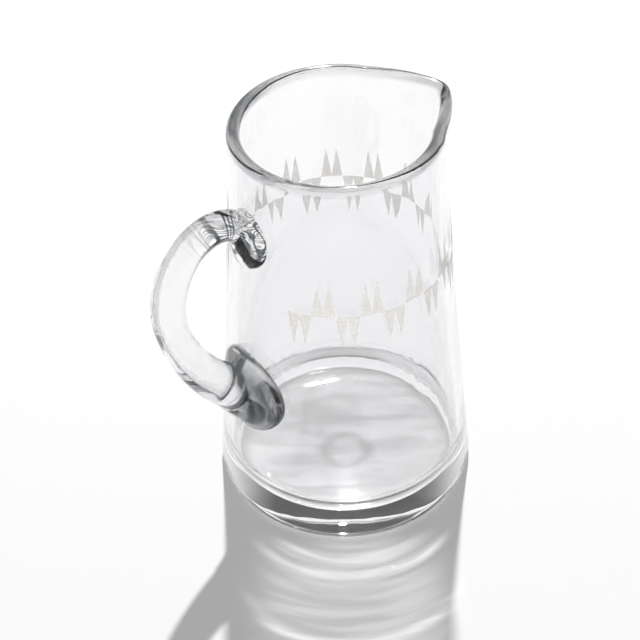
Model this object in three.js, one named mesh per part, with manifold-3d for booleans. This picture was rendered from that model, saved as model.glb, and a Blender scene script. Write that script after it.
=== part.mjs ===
// A tapered glass mixing jug: a blown body with a thick base and a pulled spout, a solid glass rod
// handle that runs between a wide foot and an upper pad, and a band of printed frosted teeth.
// Millimetres, +Z up. The origin is the middle of the underside, the spout points along +X and the
// handle is on the -X side.
import * as THREE from 'three';
import { mergeVertices } from 'three/addons/utils/BufferGeometryUtils.js';
import Module from 'manifold-3d';

const wasm = await Module();
wasm.setup();

// Body
const HEIGHT = 193;
const BASE_RADIUS = 60.1;
const RIM_RADIUS = 44.6;
const WAIST = 4.8; // how far the side curves in from a straight cone
const WALL = 5;
const RIM_THICKNESS = 5.8; // the wall thickens towards the rim
const RIM_DEPTH = 32; // where the thickening starts, below the rim
const HEEL_RADIUS = 6.5;
const FLOOR_THICKNESS = 10;
const FLOOR_CORNER = 16;
const BODY_SEGMENTS = 72;
const WALL_STEPS = 12;

// Spout, pulled out of the rim
const SPOUT_REACH = 12;
const SPOUT_DROP = 2.5;
const SPOUT_DEPTH = 40;
const SPOUT_HALF_ANGLE = THREE.MathUtils.degToRad(37);
const SPOUT_TIP_ANGLE = THREE.MathUtils.degToRad(4);

// Joints between the pieces of glass
const GAP = 0.3;

const ACROSS = new THREE.Vector3(0, 1, 0); // square to the plane of the handle

// Handle foot: a round flange bent round the body, with a collar that narrows to meet the rod
const FOOT_HEIGHT = 75.5;
const FOOT_RADIUS = 20.5;
const FOOT_TURN = THREE.MathUtils.degToRad(5); // how far round the body from the handle's plane
const FOOT_EDGE = 2.5; // radius of its rounded edge
const FOOT_RISE = 4.5; // thickness in the middle
const FOOT_SINK = 9; // how far the blank reaches in before the body's surface cuts it
const FOOT_EDGE_HEIGHT = 0.5; // centre of the rounded edge above the wall
const FOOT_EDGE_TURN = THREE.MathUtils.degToRad(76);
const FOOT_SEGMENTS = 48;
const COLLAR_TOP = { reach: 57.0, height: 74.7, lean: THREE.MathUtils.degToRad(50), radius: 10.9 };
const COLLAR_ROWS = 4;

// Handle pad: the lobe at the upper end of the handle
const PAD_HEIGHT = 157.3;
const PAD_RADIUS = 11.5;
const PAD_TURN = THREE.MathUtils.degToRad(4); // how far round the body from the handle's plane
const PAD_RISE = 7;
const PAD_SINK = 5;
const PAD_STRETCH = 1.2; // height over width
const PAD_SEGMENTS = 40;
const PAD_STEPS = 7;

// Handle rod: centre line as distance from the body's axis and height, with the rod's radius there
const ROD_STATIONS = [
  { reach: 53.0, height: 69.6, radius: 10.2 },
  { reach: 56.4, height: 74.1, radius: 10.2 },
  { reach: 60.8, height: 78.7, radius: 9.9 },
  { reach: 68.0, height: 86.9, radius: 9.0 },
  { reach: 74.1, height: 96.6, radius: 8.3 },
  { reach: 78.1, height: 105.1, radius: 7.8 },
  { reach: 81.5, height: 114.2, radius: 7.4 },
  { reach: 83.8, height: 123.6, radius: 7.2 },
  { reach: 84.4, height: 132.4, radius: 7.3 },
  { reach: 83.5, height: 140.7, radius: 7.3 },
  { reach: 80.5, height: 149.4, radius: 7.1 },
  { reach: 75.8, height: 157.2, radius: 6.7 },
  { reach: 69.6, height: 163.2, radius: 6.7 },
  { reach: 61.4, height: 166.4, radius: 6.6 },
  { reach: 53.6, height: 165.4, radius: 6.6 },
  { reach: 46.5, height: 160.5, radius: 7.0 },
];
const ROD_STEPS = 48;
const ROD_SIDES = 16;

// Band of printed teeth: pairs that point up and down in turn from one level line
const BAND_HEIGHT = 130.7;
const BAND_PAIRS = 25;
const PAIR_PITCH = THREE.MathUtils.degToRad(12);
const PAIR_HALF_ANGLE = THREE.MathUtils.degToRad(5.8);
const TOOTH_LENGTH = 16;
const TOOTH_ROOT = 1;
const PRINT_THICKNESS = 0.3;

function outerRadius(height) {
  const share = height / HEIGHT;
  return BASE_RADIUS + (RIM_RADIUS - BASE_RADIUS) * share + WAIST * share * (share - 1);
}

function wallSlope(height) {
  return (outerRadius(height + 1) - outerRadius(height - 1)) / 2;
}

// Points on an arc in the (radius, height) plane, from one angle to another, both ends included.
function arc(centreRadius, centreHeight, radius, from, to, steps) {
  const points = [];
  for (let step = 0; step <= steps; step += 1) {
    const angle = from + ((to - from) * step) / steps;
    const x = centreRadius + radius * Math.cos(angle);
    const y = centreHeight + radius * Math.sin(angle);
    points.push(new THREE.Vector2(x, y));
  }
  return points;
}

function innerRadius(height) {
  const share = Math.max(0, (height - HEIGHT + RIM_DEPTH) / RIM_DEPTH);
  return outerRadius(height) - WALL - (RIM_THICKNESS - WALL) * share ** 2;
}

// Points on a side of the wall between two heights, without the two ends.
function wallPoints(radiusAt, from, to) {
  const points = [];
  for (let step = 1; step < WALL_STEPS; step += 1) {
    const height = from + ((to - from) * step) / WALL_STEPS;
    points.push(new THREE.Vector2(radiusAt(height), height));
  }
  return points;
}

// Merges shared corners, drops triangles of no area and turns every face outwards.
function closedGeometry(geometry) {
  const bare = new THREE.BufferGeometry();
  bare.setAttribute('position', geometry.getAttribute('position').clone());
  bare.setIndex(geometry.getIndex());
  const merged = mergeVertices(bare, 1e-4);
  const place = merged.getAttribute('position');
  const index = merged.getIndex().array;
  const corners = [0, 1, 2].map(() => new THREE.Vector3());
  const kept = [];
  let volume = 0;
  for (let start = 0; start < index.length; start += 3) {
    const [a, b, c] = index.slice(start, start + 3);
    if (a !== b && b !== c && c !== a) {
      [a, b, c].forEach((corner, side) => corners[side].fromBufferAttribute(place, corner));
      volume += corners[0].dot(corners[1].clone().cross(corners[2]));
      kept.push([a, b, c]);
    }
  }
  const facing = volume > 0 ? kept : kept.map(([a, b, c]) => [a, c, b]);
  merged.setIndex(facing.flat());
  return merged;
}

function toSolid(geometry) {
  const closed = closedGeometry(geometry);
  const vertProperties = new Float32Array(closed.getAttribute('position').array);
  const triVerts = new Uint32Array(closed.getIndex().array);
  return new wasm.Manifold(new wasm.Mesh({ numProp: 3, vertProperties, triVerts }));
}

function toGeometry(solid) {
  const mesh = solid.getMesh();
  const geometry = new THREE.BufferGeometry();
  geometry.setAttribute('position', new THREE.BufferAttribute(mesh.vertProperties, 3));
  geometry.setIndex(new THREE.BufferAttribute(mesh.triVerts, 1));
  return geometry;
}

// Turns a profile of (radius, height) points about +Z.
function turned(points, segments) {
  const geometry = new THREE.LatheGeometry(points, segments);
  geometry.rotateX(Math.PI / 2);
  return geometry;
}

function bodyProfile() {
  const rimHeight = HEIGHT - RIM_THICKNESS / 2;
  const rim = (outerRadius(rimHeight) - innerRadius(rimHeight)) / 2;
  const rimCentre = outerRadius(rimHeight) - rim;
  const cornerHeight = FLOOR_THICKNESS + FLOOR_CORNER;
  const cornerCentre = outerRadius(cornerHeight) - WALL - FLOOR_CORNER;
  return [
    new THREE.Vector2(0, 0),
    ...arc(outerRadius(HEEL_RADIUS) - HEEL_RADIUS, HEEL_RADIUS, HEEL_RADIUS, -Math.PI / 2, 0, 5),
    ...wallPoints(outerRadius, HEEL_RADIUS, rimHeight),
    ...arc(rimCentre, rimHeight, rim, 0, Math.PI, 6),
    ...wallPoints(innerRadius, rimHeight, cornerHeight),
    ...arc(cornerCentre, cornerHeight, FLOOR_CORNER, 0, -Math.PI / 2, 6),
    new THREE.Vector2(0, FLOOR_THICKNESS),
  ];
}

// Pulls the rim outwards and a little down around +X, less and less towards the body.
function pullSpout(geometry) {
  const place = geometry.getAttribute('position');
  for (let corner = 0; corner < place.count; corner += 1) {
    const x = place.getX(corner);
    const y = place.getY(corner);
    const z = place.getZ(corner);
    const radius = Math.hypot(x, y);
    const turn = Math.hypot(Math.atan2(y, x), SPOUT_TIP_ANGLE) - SPOUT_TIP_ANGLE;
    const across = Math.max(0, 1 - turn / SPOUT_HALF_ANGLE) ** 1.5;
    const along = Math.max(0, (z - HEIGHT + SPOUT_DEPTH) / SPOUT_DEPTH) ** 2;
    if (radius > 0 && across * along > 0) {
      const grown = (radius + SPOUT_REACH * across * along) / radius;
      place.setXYZ(corner, x * grown, y * grown, z - SPOUT_DROP * across * along);
    }
  }
}

function bodyGeometry() {
  const geometry = turned(bodyProfile(), BODY_SEGMENTS);
  pullSpout(geometry);
  return closedGeometry(geometry);
}

// The space that the body fills, grown by the gap, for cutting what is pressed against it.
function bodyClearance() {
  const points = [new THREE.Vector2(0, 0)];
  points.push(new THREE.Vector2(outerRadius(0) + GAP, 0));
  points.push(...wallPoints((height) => outerRadius(height) + GAP, 0, HEIGHT));
  points.push(new THREE.Vector2(outerRadius(HEIGHT) + GAP, HEIGHT));
  points.push(new THREE.Vector2(0, HEIGHT));
  return toSolid(turned(points, BODY_SEGMENTS));
}

// Sets a shape turned about +Z onto the handle side of the body: bends it round the body, then
// stands it square to the wall at a height.
function setOnWall(geometry, height) {
  const radius = outerRadius(height);
  const place = geometry.getAttribute('position');
  for (let corner = 0; corner < place.count; corner += 1) {
    const y = place.getY(corner);
    place.setZ(corner, place.getZ(corner) - radius + Math.sqrt(radius * radius - y * y));
  }
  const lean = Math.atan(-wallSlope(height));
  geometry.rotateY(-Math.PI / 2 + lean);
  geometry.translate(-radius, 0, height);
  return geometry;
}

// A ring of points round a centre in the plane of the handle, square to the direction it faces.
function circleRing({ centre, facing, radius }) {
  const inPlane = facing.clone().cross(ACROSS);
  const ring = [];
  for (let side = 0; side < ROD_SIDES; side += 1) {
    const angle = (side / ROD_SIDES) * Math.PI * 2;
    const corner = centre.clone();
    corner.addScaledVector(inPlane, radius * Math.cos(angle));
    corner.addScaledVector(ACROSS, radius * Math.sin(angle));
    ring.push(corner);
  }
  return ring;
}

// Joins rings of points with a closed skin.
function skinned(rings) {
  const corners = rings.flat().flatMap((corner) => [...corner]);
  const faces = [];
  for (let start = 0; start < corners.length / 3 - ROD_SIDES; start += ROD_SIDES) {
    for (let side = 0; side < ROD_SIDES; side += 1) {
      const here = start + side;
      const next = start + ((side + 1) % ROD_SIDES);
      faces.push(here, next, next + ROD_SIDES, here, next + ROD_SIDES, here + ROD_SIDES);
    }
  }
  const last = (rings.length - 1) * ROD_SIDES;
  for (let side = 1; side < ROD_SIDES - 1; side += 1) {
    faces.push(0, side + 1, side, last, last + side, last + side + 1);
  }
  return toSolid(indexed(corners, faces));
}

// The rounded edge of the flange.
function flangeEdge(grow) {
  const centre = FOOT_RADIUS - FOOT_EDGE;
  return arc(centre, FOOT_EDGE_HEIGHT, FOOT_EDGE + grow, 0, FOOT_EDGE_TURN, 4);
}

// A low round flange.
function flangeSolid(grow) {
  const points = [
    new THREE.Vector2(0, -FOOT_SINK),
    new THREE.Vector2(FOOT_RADIUS + grow, -FOOT_SINK),
    ...flangeEdge(grow),
    new THREE.Vector2(0, FOOT_RISE + grow),
  ];
  return toSolid(setOnWall(turned(points, FOOT_SEGMENTS), FOOT_HEIGHT).rotateZ(FOOT_TURN));
}

// A ring on the foot at a distance from its middle and a height above the wall.
function footRing(radius, rise) {
  const circle = new THREE.BufferGeometry().setFromPoints(circleRing({
    centre: new THREE.Vector3(0, 0, rise),
    facing: new THREE.Vector3(0, 0, 1),
    radius,
  }));
  setOnWall(circle, FOOT_HEIGHT).rotateZ(FOOT_TURN);
  const place = circle.getAttribute('position');
  return Array.from({ length: place.count }, (_, corner) => (
    new THREE.Vector3().fromBufferAttribute(place, corner)
  ));
}

// The collar: a straight-sided cone from the flange's edge to the tilted circle where the rod starts.
function collarSolid(grow) {
  const { reach, height, lean, radius } = COLLAR_TOP;
  const facing = new THREE.Vector3(-Math.cos(lean), 0, Math.sin(lean));
  const centre = new THREE.Vector3(-reach, 0, height).addScaledVector(facing, grow);
  const top = circleRing({ centre, facing, radius: radius + grow });
  const edge = flangeEdge(grow).at(-1);
  const base = footRing(edge.x, edge.y);
  const rings = [];
  for (let row = 0; row <= COLLAR_ROWS; row += 1) {
    rings.push(top.map((corner, side) => corner.clone().lerp(base[side], row / COLLAR_ROWS)));
  }
  rings.push(footRing(edge.x, -FOOT_SINK));
  return skinned(rings);
}

function footSolid(grow) {
  return flangeSolid(grow).add(collarSolid(grow));
}

// A low dome, a little taller than it is wide.
function padSolid(grow) {
  const points = [new THREE.Vector2(0, -PAD_SINK), new THREE.Vector2(PAD_RADIUS + grow, -PAD_SINK)];
  for (let step = 0; step <= PAD_STEPS; step += 1) {
    const angle = (step / PAD_STEPS) * (Math.PI / 2);
    const across = step === PAD_STEPS ? 0 : (PAD_RADIUS + grow) * Math.cos(angle);
    points.push(new THREE.Vector2(across, (PAD_RISE + grow) * Math.sin(angle)));
  }
  const dome = turned(points, PAD_SEGMENTS);
  dome.scale(PAD_STRETCH, 1, 1);
  return toSolid(setOnWall(dome, PAD_HEIGHT).rotateZ(PAD_TURN));
}

// A round rod along the stations in the plane of the handle.
function rodSolid() {
  const route = ROD_STATIONS.map(({ reach, height }) => new THREE.Vector3(-reach, 0, height));
  const curve = new THREE.CatmullRomCurve3(route, false, 'centripetal');
  const rings = [];
  for (let step = 0; step <= ROD_STEPS; step += 1) {
    const share = step / ROD_STEPS;
    const place = share * (ROD_STATIONS.length - 1);
    const before = Math.min(Math.floor(place), ROD_STATIONS.length - 2);
    const ends = [ROD_STATIONS[before].radius, ROD_STATIONS[before + 1].radius];
    const radius = THREE.MathUtils.lerp(...ends, place - before);
    rings.push(circleRing({
      centre: curve.getPoint(share),
      facing: curve.getTangent(share),
      radius,
    }));
  }
  return skinned(rings);
}

function indexed(corners, faces) {
  const geometry = new THREE.BufferGeometry();
  geometry.setAttribute('position', new THREE.Float32BufferAttribute(corners, 3));
  geometry.setIndex(faces);
  return geometry;
}

// Two plain triangular teeth side by side on a narrow root, as a thin plate bent round the body.
// Direction is 1 for teeth that point up and -1 for teeth that point down.
function toothPairGeometry(centreAngle, direction) {
  const columns = [-1, -0.5, 0, 0.5, 1];
  const root = BAND_HEIGHT + direction * TOOTH_ROOT;
  const tip = BAND_HEIGHT + direction * TOOTH_LENGTH;
  const flat = [
    ...columns.map((share) => [share, BAND_HEIGHT]),
    ...columns.map((share) => [share, root]),
    [-0.5, tip],
    [0.5, tip],
  ];
  const corners = [];
  for (const lift of [GAP, GAP + PRINT_THICKNESS]) {
    for (const [share, height] of flat) {
      const angle = centreAngle + share * PAIR_HALF_ANGLE;
      const radius = outerRadius(height) + lift;
      corners.push(radius * Math.cos(angle), radius * Math.sin(angle), height);
    }
  }
  const front = [[5, 6, 10], [6, 7, 10], [7, 8, 11], [8, 9, 11]];
  for (let column = 0; column < 4; column += 1) {
    front.push([column, column + 1, column + 6], [column, column + 6, column + 5]);
  }
  const outline = [0, 1, 2, 3, 4, 9, 11, 7, 10, 5];
  const faces = [];
  for (const [a, b, c] of front) {
    faces.push(a, c, b, a + flat.length, b + flat.length, c + flat.length);
  }
  outline.forEach((here, place) => {
    const next = outline[(place + 1) % outline.length];
    faces.push(here, next, next + flat.length, here, next + flat.length, here + flat.length);
  });
  return closedGeometry(indexed(corners, faces));
}

function glass(colour) {
  return new THREE.MeshStandardMaterial({ color: colour, roughness: 0.03, metalness: 0 });
}

function frost() {
  return new THREE.MeshStandardMaterial({ color: 0xdedad6, roughness: 0.75, metalness: 0 });
}

function named(name, geometry, material) {
  const mesh = new THREE.Mesh(geometry, material);
  mesh.name = name;
  return mesh;
}

const clearance = bodyClearance();
const handleRod = rodSolid().subtract(footSolid(GAP)).subtract(padSolid(GAP)).subtract(clearance);
const jug = new THREE.Group();
jug.add(named('jug_body', bodyGeometry(), glass(0xf0f2f3)));
jug.add(named('handle_foot', toGeometry(footSolid(0).subtract(clearance)), glass(0xd5dadd)));
jug.add(named('handle_pad', toGeometry(padSolid(0).subtract(clearance)), glass(0xdfe3e5)));
jug.add(named('handle_rod', toGeometry(handleRod), glass(0xe8ebed)));

const band = new THREE.Group();
for (let pair = 0; pair < BAND_PAIRS; pair += 1) {
  const angle = (pair - (BAND_PAIRS - 1) / 2) * PAIR_PITCH;
  const direction = pair % 2 === 0 ? -1 : 1;
  const name = `frosted_teeth_${String(pair + 1).padStart(2, '0')}`;
  band.add(named(name, toothPairGeometry(angle, direction), frost()));
}
jug.add(band);

export default jug;
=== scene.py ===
"""A clear glass mixing jug with a rod handle and a band of frosted teeth, on a pale studio floor."""

import math

import bmesh
import bpy
import numpy as np
from mathutils import Matrix, Vector


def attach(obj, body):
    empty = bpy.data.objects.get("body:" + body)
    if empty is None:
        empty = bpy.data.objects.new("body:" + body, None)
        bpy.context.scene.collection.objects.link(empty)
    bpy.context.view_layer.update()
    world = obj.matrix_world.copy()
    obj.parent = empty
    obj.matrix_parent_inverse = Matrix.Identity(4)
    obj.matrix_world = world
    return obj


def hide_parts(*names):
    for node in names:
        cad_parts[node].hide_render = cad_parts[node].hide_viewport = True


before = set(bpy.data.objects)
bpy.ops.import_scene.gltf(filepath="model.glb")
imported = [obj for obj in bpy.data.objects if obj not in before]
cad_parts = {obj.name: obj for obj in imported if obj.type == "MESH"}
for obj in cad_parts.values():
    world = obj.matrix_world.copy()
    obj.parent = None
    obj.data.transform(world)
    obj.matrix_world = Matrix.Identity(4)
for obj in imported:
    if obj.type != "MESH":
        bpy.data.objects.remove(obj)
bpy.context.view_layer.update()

MM = 0.001
ROOT = "root"

# Body, as in the CAD part
HEIGHT = 193 * MM
BASE_RADIUS = 60.1 * MM
RIM_RADIUS = 44.6 * MM
WAIST = 4.8 * MM
WALL = 5.0 * MM
RIM_THICKNESS = 5.8 * MM
RIM_DEPTH = 32 * MM
HEEL_RADIUS = 6.5 * MM
FLOOR_THICKNESS = 10 * MM
FLOOR_CORNER = 16 * MM

# Spout, as in the CAD part
SPOUT_REACH = 12 * MM
SPOUT_DROP = 2.5 * MM
SPOUT_DEPTH = 40 * MM
SPOUT_HALF_ANGLE = math.radians(37)
SPOUT_TIP_ANGLE = math.radians(4)

# Handle foot: a flange bent round the body and a collar up to the rod, a little off the handle's plane
FOOT_HEIGHT = 75.5 * MM
FOOT_RADIUS = 20.5 * MM
FOOT_TURN = math.radians(5)
FOOT_EDGE = 2.5 * MM
FOOT_RISE = 4.5 * MM
FOOT_SINK = 6 * MM
FOOT_EDGE_HEIGHT = 0.5 * MM
FOOT_EDGE_TURN = math.radians(76)
COLLAR_TOP = (57.0 * MM, 74.7 * MM, math.radians(50), 10.9 * MM)

# Handle pad: the lobe at the upper end
PAD_HEIGHT = 157.3 * MM
PAD_RADIUS = 11.5 * MM
PAD_TURN = math.radians(4)
PAD_RISE = 7 * MM
PAD_SINK = 5 * MM
PAD_STRETCH = 1.2

# Handle rod: distance from the body's axis, height and radius along its centre line, in millimetres
ROD_STATIONS = [
    (53.0, 69.6, 10.2),
    (56.4, 74.1, 10.2),
    (60.8, 78.7, 9.9),
    (68.0, 86.9, 9.0),
    (74.1, 96.6, 8.3),
    (78.1, 105.1, 7.8),
    (81.5, 114.2, 7.4),
    (83.8, 123.6, 7.2),
    (84.4, 132.4, 7.3),
    (83.5, 140.7, 7.3),
    (80.5, 149.4, 7.1),
    (75.8, 157.2, 6.7),
    (69.6, 163.2, 6.7),
    (61.4, 166.4, 6.6),
    (53.6, 165.4, 6.6),
    (46.5, 160.5, 7.0),
]

# Band of frosted teeth
BAND_HEIGHT = 130.7 * MM
BAND_PAIRS = 25
PAIR_PITCH = math.radians(12)
PAIR_HALF_ANGLE = math.radians(5.8)
TOOTH_LENGTH = 16 * MM
TOOTH_TAPER = 0.97
ROOT_SHARE = 0.07
PRINT_LIFT = 0.03 * MM
PRINT_THICKNESS = 0.05 * MM

# Fineness of the meshes
TURN_STEPS = 224
WALL_STEPS = 110
HEEL_STEPS = 14
RIM_STEPS = 18
CORNER_STEPS = 24
FLAT_STEPS = 19
ROD_SIDES = 72
ROD_STEPS_EACH = 10
FLANGE_STEPS = 144
FLANGE_EDGE_STEPS = 12
FLANGE_FACE_STEPS = 23
COLLAR_ROWS = 14
DOME_STEPS = 29
TOOTH_COLUMNS = 7
TOOTH_ROWS = 14
SHARP_ANGLE = math.radians(35)

# The closed shape in the middle of the wall that the handle is cut by
CORE_BOTTOM = 30 * MM
CORE_TOP = 185 * MM
CORE_STEPS = 80
SAME_POINT = 0.002 * MM

# Glass. A fade is its start, its end and its values there. A noise scale is in cells per metre.
CLEAR_GLASS = {"Roughness": 0.0, "IOR": 1.5, "Transmission_Weight": 1.0}
WAVE_DEPTH = 0.08 * MM

# Body glass: faint clouds, painted shade in the two sides of the rim that stands in for the dark
# surroundings it mirrors, upright waves, and a swirl in the base
BODY_CLEAR = ((0.915, 0.915, 0.926), (0.932, 0.932, 0.942))
BODY_CLOUD_SCALE = 40
# Left and right of the view: the rim's painted shade goes on the two sides along this direction
RIM_SHADE_SIDES = (math.cos(math.radians(-32)), math.sin(math.radians(-32)), 0)
RIM_PAINTED_SHADE = (0.13, 0.145, 0.155)
RIM_ROUGHNESS = 0.2
RIM_START = (188 * MM, 190.5 * MM, 0, 1)
RIM_SIDES = (0.4, 0.9, 0.25, 1)
RIM_STREAK_SCALE = 45
RIM_STREAK_STRETCH = (1, 1, 14)
RIM_STREAKS = (0.35, 0.65, 0.55, 1)
WAVE_SCALE = 70
WAVE_STRETCH = (1, 1, 0.06)
WAVES_BY_HEIGHT = (8 * MM, 40 * MM, 0.3, 2.0)
BASE_SWIRL_SCALE = 30
BASE_SWIRL_SHARE = 0.8
BASE_SWIRL_TOP = (10 * MM, 13 * MM, 1, 0)
BASE_SWIRL_EDGE = (12 * MM, 34 * MM, 1, 0)

# Handle glass: painted shade where the foot is pressed onto the body, and painted dark twisted lines in the
# upper bend, both in place of the dark reflections that the thick glass gathers
HANDLE_CLEAR = ((0.925, 0.929, 0.937), (0.945, 0.949, 0.956))
HANDLE_CLOUD_SCALE = 60
FOOT_PAINTED_SHADE = (0.02, 0.026, 0.031)
BEND_PAINTED_SHADE = (0.03, 0.036, 0.042)
WALL_TAPER = 0.086
NEAR_WALL = (66 * MM, 71.5 * MM, 1, 0)
FOOT_BY_HEIGHT = (84 * MM, 100 * MM, 1, 0.3)
FOOT_STREAKS = (0.4, 0.6, 0.9, 1)
UPPER_BEND = (135 * MM, 140 * MM, 0, 1)
NEAR_BEND = (62 * MM, 72 * MM, 1, 0)
SWIRL_SCALE = 55
SWIRL_LINE_PITCH = 0.045
SWIRL_LINES = (SWIRL_LINE_PITCH * 0.3, SWIRL_LINE_PITCH * 0.6, 1, 0)
PATCH_SCALE = 45
PATCHES = (0.4, 0.55, 0.3, 1)
BEND_WAVES = 2.5

# Print: a fine grain between two warm greys
PRINT_GREYS = ((0.80, 0.76, 0.70), (0.95, 0.91, 0.85))
PRINT_GRAIN_SCALE = 900
PRINT_GRAIN = (0.35, 0.65, 0, 1)
PRINT_GRAIN_DEPTH = 0.008 * MM

# Floor
FLOOR_GREYS = ((0.89, 0.89, 0.89), (0.91, 0.91, 0.91))
FLOOR_GRAIN_SCALE = 400
FLOOR_HALF_SIZE = 8
FLOOR_DROP = 0.2 * MM

# Camera: where it looks, from which side and how high, and its small tilt
VIEW_AZIMUTH = math.radians(-32)
VIEW_ELEVATION = math.radians(42.8)
VIEW_ROLL = math.radians(-2.43)
VIEW_DISTANCE = 712 * MM
VIEW_TARGET = Vector((-8.25, 5.15, 85.0)) * MM
LENS = 88.94
BACK = Vector((-math.sin(VIEW_AZIMUTH), math.cos(VIEW_AZIMUTH), 0))
RIGHT = Vector((math.cos(VIEW_AZIMUTH), math.sin(VIEW_AZIMUTH), 0))
UP = Vector((0, 0, 1))

# Surroundings that the glass mirrors, as fades of brightness by direction
SURROUNDINGS = (0.1, 0.6, 0.30, 0.10)
BRIGHT_SIDES = (0.35, 0.8, 0, 0.55)
OVERHEAD_EDGE = (0.80, 0.97)
OVERHEAD = 0.8

# Lamps: a small one behind the jug that casts the shadow, soft fill, and one for the print
KEY_PLACE = (BACK + RIGHT * 0.07) * 1.6 + UP * 2.57
KEY_SIZE = 0.09
KEY_ENERGY = 70
FILL_PLACE = UP * 0.9 - BACK * 0.7
FILL_ENERGY = 1.75
PRINT_LIGHT_PLACE = UP * 0.5 - BACK
PRINT_LIGHT_ENERGY = 0.6

# Light that the jug gathers on the floor, through its base and in arcs in front of it. Each ring is
# its centre ahead of the axis, its radius, its width and its strength.
GLOW_HEIGHT = 1.5
GLOW_REACH = 170 * MM
GLOW_ENERGY = 26
GLOW_EDGE = 0.1
BASE_EDGE = (BASE_RADIUS - 2 * HEEL_RADIUS, BASE_RADIUS, 1, 0)
BASE_LIGHT = (-20 * MM, 45 * MM, 1.7, 2.5)
BASE_RING = (4 * MM, 10 * MM, 4 * MM, -0.7)
BASE_STREAK_SCALE = 40
BASE_STREAK_STRETCH = (0.5, 2.2, 1)
BASE_STREAKS = (0.35, 0.65, 0.7, 1.2)
BEAM_SIDES = (0, 9 * MM, 1, 0)
BEAM_START = (5 * MM, 35 * MM, 0, 1)
BEAM_STRENGTH = 1.2
ARCS = [
    (25 * MM, 54 * MM, 4 * MM, 1.2),
    (13 * MM, 54 * MM, 3 * MM, 0.6),
    (19 * MM, 52 * MM, 4 * MM, 0.5),
    (60 * MM, 56 * MM, 5 * MM, 0.9),
]
POOL_CENTRE = 95 * MM
POOL = (25 * MM, 62 * MM, 0.8, 0)
ARC_STREAK_CENTRE = 25 * MM
ARC_STREAK_SCALE = 60
ARC_STREAK_STRETCH = (0.35, 3.5, 1)
ARC_STREAKS = (0.35, 0.65, 0.65, 1.3)
ARCS_START = (50 * MM, 64 * MM, 0, 1)
ARCS_SIDES = (34 * MM, 54 * MM, 1, 0)


def outer_radius(height):
    share = height / HEIGHT
    return BASE_RADIUS + (RIM_RADIUS - BASE_RADIUS) * share + WAIST * share * (share - 1)


def inner_radius(height):
    """The wall is thickest at the rim and reaches its even thickness RIM_DEPTH below it."""
    share = np.clip((height - HEIGHT + RIM_DEPTH) / RIM_DEPTH, 0, 1)
    return outer_radius(height) - WALL - (RIM_THICKNESS - WALL) * share ** 2


def arc(centre_radius, centre_height, radius, start, end, steps):
    """Points on an arc in the (radius, height) plane, both ends included."""
    angles = np.linspace(start, end, steps + 1)
    across = centre_radius + radius * np.cos(angles)
    up = centre_height + radius * np.sin(angles)
    return np.column_stack([across, up])


def wall(radius, start, end):
    """Points on a side of the body between two heights, without the two ends."""
    heights = np.linspace(start, end, WALL_STEPS + 1)[1:-1]
    return np.column_stack([radius(heights), heights])


def flat(start, end, height):
    """Points on a level line between two radii, without the two ends."""
    radii = np.linspace(start, end, FLAT_STEPS + 1)[1:-1]
    return np.column_stack([radii, np.full(len(radii), height)])


def body_profile():
    rim_height = HEIGHT - RIM_THICKNESS / 2
    rim = (outer_radius(rim_height) - inner_radius(rim_height)) / 2
    corner_height = FLOOR_THICKNESS + FLOOR_CORNER
    heel_centre = outer_radius(HEEL_RADIUS) - HEEL_RADIUS
    corner_centre = outer_radius(corner_height) - WALL - FLOOR_CORNER
    return np.vstack([
        flat(0, heel_centre, 0),
        arc(heel_centre, HEEL_RADIUS, HEEL_RADIUS, -math.pi / 2, 0, HEEL_STEPS),
        wall(outer_radius, HEEL_RADIUS, rim_height),
        arc(outer_radius(rim_height) - rim, rim_height, rim, 0, math.pi, RIM_STEPS),
        wall(inner_radius, rim_height, corner_height),
        arc(corner_centre, corner_height, FLOOR_CORNER, 0, -math.pi / 2, CORNER_STEPS),
        flat(corner_centre, 0, FLOOR_THICKNESS),
    ])


def tube_faces(rings, steps):
    """Quads between rings of points and a fan at each end onto the last two points."""
    faces = []
    for ring in range(rings - 1):
        for step in range(steps):
            here = ring * steps + step
            side = ring * steps + (step + 1) % steps
            faces.append((here, side, side + steps, here + steps))
    top = (rings - 1) * steps
    first = rings * steps
    for step in range(steps):
        side = (step + 1) % steps
        faces.append((first, side, step))
        faces.append((first + 1, top + step, top + side))
    return faces


def turned(profile, steps):
    """A closed surface of revolution about +Z: profile rings with a point on the axis at each end."""
    angles = np.linspace(0, 2 * math.pi, steps, endpoint=False)
    radius, height = profile.T
    rings = np.stack([
        radius[:, None] * np.cos(angles),
        radius[:, None] * np.sin(angles),
        np.repeat(height[:, None], steps, axis=1),
    ], axis=-1)
    points = np.vstack([rings.reshape(-1, 3), [[0, 0, height[0]], [0, 0, height[-1]]]])
    return points, tube_faces(len(profile), steps)


def pull_spout(points):
    """Pulls the rim outwards and a little down around +X, less and less towards the body."""
    x, y, z = points.T
    radius = np.hypot(x, y)
    turn = np.hypot(np.arctan2(y, x), SPOUT_TIP_ANGLE) - SPOUT_TIP_ANGLE
    across = np.clip(1 - turn / SPOUT_HALF_ANGLE, 0, 1) ** 1.5
    along = np.clip((z - HEIGHT + SPOUT_DEPTH) / SPOUT_DEPTH, 0, 1) ** 2
    grown = 1 + SPOUT_REACH * across * along / np.maximum(radius, MM)
    return np.column_stack([x * grown, y * grown, z - SPOUT_DROP * across * along])


def wall_middle():
    """The middle of the wall's thickness, closed at the top and the bottom."""
    heights = np.linspace(CORE_BOTTOM, CORE_TOP, CORE_STEPS)
    return turned(np.column_stack([outer_radius(heights) - WALL / 2, heights]), TURN_STEPS)


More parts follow.
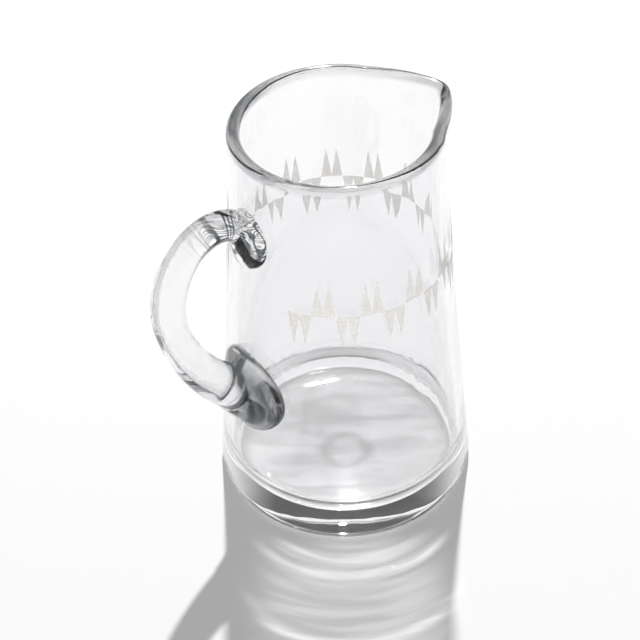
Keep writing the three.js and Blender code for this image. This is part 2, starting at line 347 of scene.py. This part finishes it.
def on_wall(points, height, turn):
    """Bends a shape about +Z round the body, stands it square to the wall, then turns it about +Z.

    With no turn it stands on the handle's plane.
    """
    radius = outer_radius(height)
    slope = (outer_radius(height + MM) - outer_radius(height - MM)) / (2 * MM)
    lean = math.atan(-slope)
    up, across, rise = points.T
    rise = rise - radius + np.sqrt(radius ** 2 - across ** 2)
    out = -radius + up * math.sin(lean) - rise * math.cos(lean)
    z = height + up * math.cos(lean) + rise * math.sin(lean)
    x = out * math.cos(turn) - across * math.sin(turn)
    y = out * math.sin(turn) + across * math.cos(turn)
    return np.column_stack([x, y, z])


def circle_ring(reach, height, slope, radius):
    """Points on a circle square to a slope (reach, height) in the plane of the handle."""
    angles = np.linspace(0, 2 * math.pi, ROD_SIDES, endpoint=False)
    out, up = slope
    in_plane = radius * np.cos(angles)
    return np.column_stack([up * in_plane - reach, radius * np.sin(angles), height + out * in_plane])


def foot_ring(radius, rise):
    """Points on the foot at a distance from its middle and a height above the wall."""
    angles = np.linspace(0, 2 * math.pi, ROD_SIDES, endpoint=False)
    circle = [-radius * np.cos(angles), radius * np.sin(angles), np.full(ROD_SIDES, rise)]
    return on_wall(np.column_stack(circle), FOOT_HEIGHT, FOOT_TURN)


def skinned(rings):
    """A closed skin over rings of points."""
    ends = [rings[0].mean(axis=0), rings[-1].mean(axis=0)]
    return np.vstack([*rings, ends]), tube_faces(len(rings), ROD_SIDES)


def curve_through(stations, steps):
    """Points on a smooth curve through the stations, the ends included."""
    ends = [2 * stations[0] - stations[1], 2 * stations[-1] - stations[-2]]
    knots = np.vstack([ends[0], stations, ends[1]])
    points = []
    for before, start, end, after in zip(knots, knots[1:], knots[2:], knots[3:]):
        for share in np.arange(steps) / steps:
            bend = 2 * before - 5 * start + 4 * end - after
            twist = 3 * start - before - 3 * end + after
            slide = end - before
            points.append(start + 0.5 * (slide * share + bend * share ** 2 + twist * share ** 3))
    return np.array([*points, stations[-1]])


def rod_shape():
    path = curve_through(np.array(ROD_STATIONS) * MM, ROD_STEPS_EACH)
    slopes = np.gradient(path[:, :2], axis=0)
    slopes /= np.linalg.norm(slopes, axis=1)[:, None]
    return skinned([circle_ring(reach, height, slope, radius)
                    for (reach, height, radius), slope in zip(path, slopes)])


def flange_edge():
    centre = FOOT_RADIUS - FOOT_EDGE
    return arc(centre, FOOT_EDGE_HEIGHT, FOOT_EDGE, 0, FOOT_EDGE_TURN, FLANGE_EDGE_STEPS)


def flange_shape():
    edge = flange_edge()
    edge_radius, edge_rise = edge[-1]
    out = np.linspace(edge_radius, 0, FLANGE_FACE_STEPS + 1)[1:-1]
    face = np.column_stack([out, FOOT_RISE + (edge_rise - FOOT_RISE) * out / edge_radius])
    side = np.array([[FOOT_RADIUS / 2, -FOOT_SINK], [FOOT_RADIUS, -FOOT_SINK]])
    points, faces = turned(np.vstack([side, edge, face]), FLANGE_STEPS)
    points[-1, 2] = FOOT_RISE
    return on_wall(points, FOOT_HEIGHT, FOOT_TURN), faces


def collar_shape():
    """A straight-sided cone from the flange's edge to the tilted circle where the rod starts."""
    reach, height, lean, radius = COLLAR_TOP
    top = circle_ring(reach, height, (-math.cos(lean), -math.sin(lean)), radius)
    edge_radius, edge_rise = flange_edge()[-1]
    base = foot_ring(edge_radius, edge_rise)
    rings = [top + (base - top) * share for share in np.linspace(0, 1, COLLAR_ROWS)]
    return skinned([*rings, foot_ring(edge_radius, -FOOT_SINK)])


def pad_shape():
    angles = np.linspace(0, math.pi / 2, DOME_STEPS + 1)[:-1]
    dome = np.column_stack([PAD_RADIUS * np.cos(angles), PAD_RISE * np.sin(angles)])
    side = np.array([[PAD_RADIUS / 2, -PAD_SINK], [PAD_RADIUS, -PAD_SINK]])
    points, faces = turned(np.vstack([side, dome]), FLANGE_STEPS)
    points[-1, 2] = PAD_RISE
    points[:, 0] *= PAD_STRETCH
    return on_wall(points, PAD_HEIGHT, PAD_TURN), faces


def plate_faces(first, layer):
    """The two sides and the edge of a plate made of two layers of TOOTH_ROWS by TOOTH_COLUMNS points."""
    faces = []
    for row in range(TOOTH_ROWS - 1):
        for column in range(TOOTH_COLUMNS - 1):
            here = first + row * TOOTH_COLUMNS + column
            square = (here, here + 1, here + 1 + TOOTH_COLUMNS, here + TOOTH_COLUMNS)
            faces.append(square[::-1])
            faces.append(tuple(corner + layer for corner in square))
    bottom = list(range(TOOTH_COLUMNS))
    right = [row * TOOTH_COLUMNS + TOOTH_COLUMNS - 1 for row in range(1, TOOTH_ROWS)]
    top = [layer - 2 - column for column in range(TOOTH_COLUMNS - 1)]
    left = [row * TOOTH_COLUMNS for row in range(TOOTH_ROWS - 2, 0, -1)]
    outline = [first + corner for corner in bottom + right + top + left]
    for here, following in zip(outline, outline[1:] + outline[:1]):
        faces.append((here, following, following + layer, here + layer))
    return faces


def tooth_pair(number):
    """Two plain teeth on a short root, as a thin print that follows the wall."""
    centre = (number - (BAND_PAIRS - 1) / 2) * PAIR_PITCH
    direction = -1 if number % 2 == 0 else 1
    columns = np.linspace(-1, 1, TOOTH_COLUMNS)
    points = []
    faces = []
    for tooth in (-0.5, 0.5):
        faces.extend(plate_faces(len(points), TOOTH_COLUMNS * TOOTH_ROWS))
        for lift in (PRINT_LIFT, PRINT_LIFT + PRINT_THICKNESS):
            for row in np.linspace(0, 1, TOOTH_ROWS):
                height = BAND_HEIGHT + direction * TOOTH_LENGTH * row
                width = 0.5 * (1 - TOOTH_TAPER * max(0, row - ROOT_SHARE) / (1 - ROOT_SHARE))
                radius = outer_radius(height) + lift
                for angle in centre + (tooth + width * columns) * PAIR_HALF_ANGLE:
                    points.append((radius * math.cos(angle), radius * math.sin(angle), height))
    return points, faces


def make_object(name, points, faces, material):
    mesh = bpy.data.meshes.new(name)
    mesh.from_pydata([tuple(p) for p in points], [], faces)
    mesh.materials.append(material)
    solid = bmesh.new()
    solid.from_mesh(mesh)
    bmesh.ops.recalc_face_normals(solid, faces=solid.faces)
    solid.to_mesh(mesh)
    solid.free()
    mesh.shade_smooth()
    piece = bpy.data.objects.new(name, mesh)
    bpy.context.scene.collection.objects.link(piece)
    return piece


def combined(first, second, operation):
    """The mesh of two solids joined, cut or crossed. Faces keep the material that they came with."""
    step = first.modifiers.new("step", "BOOLEAN")
    step.operation = operation
    step.solver = "EXACT"
    step.material_mode = "TRANSFER"
    step.object = second
    view = bpy.context.evaluated_depsgraph_get()
    mesh = bpy.data.meshes.new_from_object(first.evaluated_get(view))
    first.modifiers.clear()
    return mesh


def own_faces(mesh, material, place):
    """The faces of a mesh that have a material, with another material slot."""
    part = bmesh.new()
    part.from_mesh(mesh)
    kept = mesh.materials.find(material.name)
    strangers = [face for face in part.faces if face.material_index != kept]
    bmesh.ops.delete(part, geom=strangers, context="FACES")
    for face in part.faces:
        face.material_index = place
    part.to_mesh(mesh)
    part.free()
    return mesh


def fuse(body, handle, seam):
    """Cuts the handle by the body and marks the fused faces on both, so that light goes straight on."""
    cut_handle = combined(handle, body, "DIFFERENCE")
    outside = combined(body, handle, "DIFFERENCE")
    inside = combined(body, handle, "INTERSECT")
    own = body.data.materials[0]
    marked = bmesh.new()
    marked.from_mesh(own_faces(outside, own, 0))
    marked.from_mesh(own_faces(inside, own, 1))
    bmesh.ops.remove_doubles(marked, verts=marked.verts, dist=SAME_POINT)
    marked.to_mesh(outside)
    marked.free()
    outside.materials[0] = own
    outside.materials[1] = seam
    body.data = outside
    handle.data = cut_handle
    for place, material in enumerate(handle.data.materials):
        if material == own:
            handle.data.materials[place] = seam


def add_node(tree, kind, values=None, **settings):
    """A new node. Values go on its inputs by name or place, as a link if the value is a socket."""
    node = tree.nodes.new(kind)
    for name, setting in settings.items():
        setattr(node, name, setting)
    for place, value in (values or {}).items():
        if isinstance(value, bpy.types.NodeSocket):
            tree.links.new(value, node.inputs[place])
        else:
            node.inputs[place].default_value = value
    return node


def maths(tree, operation, first, second=0.0, third=0.0):
    return add_node(tree, "ShaderNodeMath", {0: first, 1: second, 2: third}, operation=operation).outputs[0]


def product(tree, first, *others):
    for other in others:
        first = maths(tree, "MULTIPLY", first, other)
    return first


def vector_maths(tree, operation, first, second=(0, 0, 0)):
    """The number that a vector operation gives."""
    values = {0: first, 1: second}
    return add_node(tree, "ShaderNodeVectorMath", values, operation=operation).outputs["Value"]


def dot(tree, vector, direction):
    return vector_maths(tree, "DOT_PRODUCT", vector, direction)


def from_axis(tree, place):
    """Distance from the body's axis."""
    flattened = add_node(tree, "ShaderNodeVectorMath", {0: place, 1: (1, 1, 0)}, operation="MULTIPLY")
    return vector_maths(tree, "LENGTH", flattened.outputs["Vector"])


def fade(tree, value, start, end, low=0.0, high=1.0):
    """Goes smoothly from low to high as the value goes from start to end."""
    values = {"Value": value, "From Min": start, "From Max": end, "To Min": low, "To Max": high}
    node = add_node(tree, "ShaderNodeMapRange", values, interpolation_type="SMOOTHSTEP")
    return node.outputs["Result"]


def noise(tree, place, scale, detail=3.0, distortion=0.0, stretch=(1, 1, 1)):
    stretched = add_node(tree, "ShaderNodeMapping", {"Vector": place, "Scale": stretch})
    values = {"Vector": stretched.outputs["Vector"], "Scale": scale, "Detail": detail,
              "Distortion": distortion}
    return add_node(tree, "ShaderNodeTexNoise", values).outputs["Fac"]


def blend(tree, share, first, second):
    """A colour between two: the first is a colour or a socket, the second a colour."""
    values = {"Factor": share, 6: (*first, 1) if isinstance(first, tuple) else first, 7: (*second, 1)}
    return add_node(tree, "ShaderNodeMix", values, data_type="RGBA").outputs[2]


def bump(tree, height, distance):
    values = {"Height": height, "Distance": distance}
    return add_node(tree, "ShaderNodeBump", values).outputs["Normal"]


def material_with(name, **values):
    """A new material with values on the inputs of its shader, and the place in the piece."""
    material = bpy.data.materials.new(name)
    material.use_nodes = True
    tree = material.node_tree
    shader = tree.nodes["Principled BSDF"]
    for place, value in values.items():
        shader.inputs[place.replace("_", " ")].default_value = value
    place = add_node(tree, "ShaderNodeTexCoord").outputs["Object"]
    return material, tree, shader, place


def body_glass_material():
    """Clear glass with painted shade in the two sides of the thick rim, in place of the dark surroundings
    it mirrors, and the faint waves and the swirl of blown glass.
    """
    material, tree, shader, place = material_with("clear_body_glass", **CLEAR_GLASS)
    height = dot(tree, place, (0, 0, 1))
    radius = from_axis(tree, place)
    clear = blend(tree, noise(tree, place, BODY_CLOUD_SCALE), *BODY_CLEAR)
    share = maths(tree, "DIVIDE", dot(tree, place, RIM_SHADE_SIDES), radius)
    at_sides = fade(tree, maths(tree, "ABSOLUTE", share), *RIM_SIDES)
    streaks = noise(tree, place, RIM_STREAK_SCALE, stretch=RIM_STREAK_STRETCH)
    streaks = fade(tree, streaks, *RIM_STREAKS)
    # Painted shade: the rim's colour is darkened in streaks at its two sides, in place of dark reflections;
    # the same mask adds a little roughness
    rim_shade = product(tree, fade(tree, height, *RIM_START), at_sides, streaks)
    tree.links.new(blend(tree, rim_shade, clear, RIM_PAINTED_SHADE), shader.inputs["Base Color"])
    tree.links.new(product(tree, rim_shade, RIM_ROUGHNESS), shader.inputs["Roughness"])
    waves = noise(tree, place, WAVE_SCALE, detail=2, stretch=WAVE_STRETCH)
    waves = product(tree, waves, fade(tree, height, *WAVES_BY_HEIGHT))
    in_base = product(tree, fade(tree, height, *BASE_SWIRL_TOP), fade(tree, radius, *BASE_SWIRL_EDGE))
    swirl = product(tree, noise(tree, place, BASE_SWIRL_SCALE, detail=1, distortion=1.0), in_base)
    height_map = maths(tree, "MULTIPLY_ADD", swirl, BASE_SWIRL_SHARE, waves)
    tree.links.new(bump(tree, height_map, WAVE_DEPTH), shader.inputs["Normal"])
    return material


def handle_glass_material():
    """Clear glass with painted shade, swirled, where the thick ends are pressed onto the body, in place of
    the dark reflections they gather.
    """
    material, tree, shader, place = material_with("clear_handle_glass", **CLEAR_GLASS)
    height = dot(tree, place, (0, 0, 1))
    radius = from_axis(tree, place)
    swirl = noise(tree, place, SWIRL_SCALE, detail=0.5, distortion=1.6)
    cloud = noise(tree, place, HANDLE_CLOUD_SCALE)
    clear = blend(tree, cloud, *HANDLE_CLEAR)
    upper = fade(tree, height, *UPPER_BEND)
    lower = maths(tree, "SUBTRACT", 1.0, upper)
    off_wall = maths(tree, "MULTIPLY_ADD", height, WALL_TAPER, radius)
    near_wall = fade(tree, off_wall, *NEAR_WALL)
    # Painted shade: the foot's colour is darkened in streaks near the wall, in place of dark reflections
    in_foot = product(tree, near_wall, lower, fade(tree, height, *FOOT_BY_HEIGHT))
    foot_shade = product(tree, in_foot, fade(tree, swirl, *FOOT_STREAKS))
    with_foot = blend(tree, foot_shade, clear, FOOT_PAINTED_SHADE)
    # Painted shade: dark twisted lines in the upper bend's colour, in patches, in place of dark reflections
    in_bend = product(tree, fade(tree, radius, *NEAR_BEND), upper)
    off_line = maths(tree, "PINGPONG", maths(tree, "SUBTRACT", swirl, 0.5), SWIRL_LINE_PITCH)
    lines = fade(tree, off_line, *SWIRL_LINES)
    patches = fade(tree, noise(tree, place, PATCH_SCALE), *PATCHES)
    bend_shade = product(tree, in_bend, lines, patches)
    tree.links.new(blend(tree, bend_shade, with_foot, BEND_PAINTED_SHADE), shader.inputs["Base Color"])
    twist = product(tree, in_bend, BEND_WAVES)
    height_map = maths(tree, "MULTIPLY_ADD", swirl, twist, cloud)
    tree.links.new(bump(tree, height_map, WAVE_DEPTH), shader.inputs["Normal"])
    return material


def joint_material():
    """What fused faces look like: nothing at all."""
    return material_with("fused_joint", Alpha=0.0)[0]


def print_material():
    """A fired print: warm light grey with a fine grain, half see-through."""
    material, tree, shader, place = material_with("frosted_teeth", Roughness=0.85, IOR=1.5, Alpha=0.36)
    grain = noise(tree, place, PRINT_GRAIN_SCALE)
    grey = blend(tree, fade(tree, grain, *PRINT_GRAIN), *PRINT_GREYS)
    tree.links.new(grey, shader.inputs["Base Color"])
    tree.links.new(bump(tree, grain, PRINT_GRAIN_DEPTH), shader.inputs["Normal"])
    return material


def make_jug():
    """The body, and the foot, rod and pad as one handle fused to it."""
    body_glass = body_glass_material()
    handle_glass = handle_glass_material()
    seam = joint_material()
    points, faces = turned(body_profile(), TURN_STEPS)
    body = make_object("body", pull_spout(points), faces, body_glass)
    flange = make_object("flange", *flange_shape(), handle_glass)
    collar = make_object("collar", *collar_shape(), handle_glass)
    pad = make_object("pad", *pad_shape(), handle_glass)
    handle = make_object("handle", *rod_shape(), handle_glass)
    core = make_object("core", *wall_middle(), handle_glass)
    for blank in (flange, collar, pad):
        handle.data = combined(handle, blank, "UNION")
    handle.data = combined(handle, core, "DIFFERENCE")
    for blank in (flange, collar, pad, core):
        bpy.data.objects.remove(blank)
    fuse(body, handle, seam)
    for piece in (body, handle):
        piece.data.shade_smooth()
        piece.data.set_sharp_from_angle(angle=SHARP_ANGLE)
        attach(piece, ROOT)
    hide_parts("jug_body")
    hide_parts("handle_foot", "handle_rod", "handle_pad")


def make_band():
    """The band of teeth, one piece for each pair."""
    frost = print_material()
    band = []
    for number in range(BAND_PAIRS):
        name = f"teeth_{number + 1:02d}"
        teeth = make_object(name, *tooth_pair(number), frost)
        teeth.data.set_sharp_from_angle(angle=SHARP_ANGLE)
        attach(teeth, ROOT)
        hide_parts(f"frosted_{name}")
        band.append(teeth)
    return band


def look_camera():
    look = BACK * math.cos(VIEW_ELEVATION) - UP * math.sin(VIEW_ELEVATION)
    above = RIGHT.cross(look)
    across = RIGHT * math.cos(VIEW_ROLL) + above * math.sin(VIEW_ROLL)
    above = above * math.cos(VIEW_ROLL) - RIGHT * math.sin(VIEW_ROLL)
    pose = Matrix((across, above, -look)).transposed().to_4x4()
    pose.translation = VIEW_TARGET - look * VIEW_DISTANCE
    camera = bpy.data.objects.new("camera", bpy.data.cameras.new("camera"))
    camera.data.lens = LENS
    camera.matrix_world = pose
    bpy.context.scene.collection.objects.link(camera)
    bpy.context.scene.camera = camera


def studio_world():
    """Grey surroundings, darkest at the back, lighter at both sides and straight above."""
    world = bpy.data.worlds.new("studio")
    bpy.context.scene.world = world
    world.use_nodes = True
    world.cycles_visibility.diffuse = False
    tree = world.node_tree
    direction = add_node(tree, "ShaderNodeTexCoord").outputs["Generated"]
    around = fade(tree, dot(tree, direction, BACK), *SURROUNDINGS)
    aside = maths(tree, "ABSOLUTE", dot(tree, direction, RIGHT))
    sides = fade(tree, aside, *BRIGHT_SIDES)
    overhead = fade(tree, dot(tree, direction, UP), *OVERHEAD_EDGE, sides, OVERHEAD)
    background = tree.nodes["Background"]
    background.inputs["Color"].default_value = (1, 1, 1, 1)
    tree.links.new(maths(tree, "ADD", around, overhead), background.inputs["Strength"])


def pale_floor():
    corners = [(-1, -1, 0), (1, -1, 0), (1, 1, 0), (-1, 1, 0)]
    points = [Vector(corner) * FLOOR_HALF_SIZE for corner in corners]
    material, tree, shader, place = material_with("pale_floor", Roughness=0.9, Specular_IOR_Level=0.1)
    paper = blend(tree, noise(tree, place, FLOOR_GRAIN_SCALE), *FLOOR_GREYS)
    tree.links.new(paper, shader.inputs["Base Color"])
    floor = make_object("floor", points, [(0, 1, 2, 3)], material)
    floor.location.z = -FLOOR_DROP
    return floor


def add_light(name, kind, energy, place):
    """A lamp that points at the origin."""
    light = bpy.data.lights.new(name, kind)
    light.energy = energy
    lamp = bpy.data.objects.new(name, light)
    lamp.location = place
    lamp.rotation_euler = place.to_track_quat("Z", "Y").to_euler()
    bpy.context.scene.collection.objects.link(lamp)
    return lamp


def shine_only_on(lamp, name, pieces):
    lit = bpy.data.collections.new(name)
    for piece in pieces:
        lit.objects.link(piece)
    lamp.light_linking.receiver_collection = lit


def unseen(lamp):
    """Light without shadows that the glass doesn't mirror."""
    lamp.data.use_shadow = False
    lamp.visible_glossy = False
    lamp.visible_transmission = False


def studio_lights(floor, band):
    key = add_light("key", "AREA", KEY_ENERGY, KEY_PLACE)
    key.data.shape = "DISK"
    key.data.size = KEY_SIZE
    fill = add_light("fill", "SUN", FILL_ENERGY, FILL_PLACE)
    unseen(fill)
    glow = add_light("glow", "SPOT", GLOW_ENERGY, UP * GLOW_HEIGHT)
    glow.data.spot_size = 2 * math.atan(GLOW_REACH / GLOW_HEIGHT)
    glow.data.spot_blend = GLOW_EDGE
    shine_only_on(glow, "lit_by_glow", [floor])
    glow_pattern(glow.data)
    unseen(glow)
    print_light = add_light("print_light", "SUN", PRINT_LIGHT_ENERGY, PRINT_LIGHT_PLACE)
    shine_only_on(print_light, "printed", band)
    unseen(print_light)


def glow_pattern(light):
    """Light that the jug gathers: through its base, and in arcs on the floor in front of it."""
    light.use_nodes = True
    tree = light.node_tree
    direction = add_node(tree, "ShaderNodeTexCoord").outputs["Normal"]
    depth = maths(tree, "ABSOLUTE", dot(tree, direction, UP))
    ahead = maths(tree, "DIVIDE", dot(tree, direction, BACK * GLOW_HEIGHT), depth)
    aside = maths(tree, "DIVIDE", dot(tree, direction, -RIGHT * GLOW_HEIGHT), depth)
    off_middle = maths(tree, "ABSOLUTE", aside)
    spot = add_node(tree, "ShaderNodeCombineXYZ", {"X": aside, "Y": ahead}).outputs["Vector"]

    def distance(centre):
        return vector_maths(tree, "DISTANCE", spot, (0, centre, 0))

    def with_ring(total, centre, radius, width, strength):
        off = maths(tree, "ABSOLUTE", maths(tree, "SUBTRACT", distance(centre), radius))
        return maths(tree, "MULTIPLY_ADD", fade(tree, off, 0, width, 1, 0), strength, total)

    through = with_ring(fade(tree, ahead, *BASE_LIGHT), *BASE_RING)
    beam = product(tree, fade(tree, off_middle, *BEAM_SIDES), fade(tree, ahead, *BEAM_START))
    through = maths(tree, "MULTIPLY_ADD", beam, BEAM_STRENGTH, through)
    streaks = noise(tree, spot, BASE_STREAK_SCALE, distortion=0.6, stretch=BASE_STREAK_STRETCH)
    through = product(tree, through, fade(tree, streaks, *BASE_STREAKS))

    arcs = fade(tree, distance(POOL_CENTRE), *POOL)
    for ring in ARCS:
        arcs = with_ring(arcs, *ring)
    along = add_node(tree, "ShaderNodeCombineXYZ", {"X": aside, "Y": distance(ARC_STREAK_CENTRE)})
    streaks = noise(tree, along.outputs["Vector"], ARC_STREAK_SCALE, stretch=ARC_STREAK_STRETCH)
    arcs = product(tree, arcs, fade(tree, streaks, *ARC_STREAKS), fade(tree, ahead, *ARCS_START),
                   fade(tree, off_middle, *ARCS_SIDES))

    base = fade(tree, distance(0), *BASE_EDGE)
    total = maths(tree, "MULTIPLY_ADD", base, through, arcs)
    tree.links.new(total, tree.nodes["Emission"].inputs["Strength"])


def light_paths():
    scene = bpy.context.scene
    scene.view_settings.view_transform = "Standard"
    scene.cycles.max_bounces = 96
    scene.cycles.transmission_bounces = 64
    scene.cycles.transparent_max_bounces = 32
    scene.cycles.glossy_bounces = 32
    scene.cycles.diffuse_bounces = 4
    scene.cycles.caustics_refractive = False
    scene.cycles.caustics_reflective = False
    scene.cycles.blur_glossy = 0.0
    scene.cycles.sample_clamp_indirect = 0.0


make_jug()
frosted_band = make_band()
look_camera()
studio_world()
studio_lights(pale_floor(), frosted_band)
light_paths()
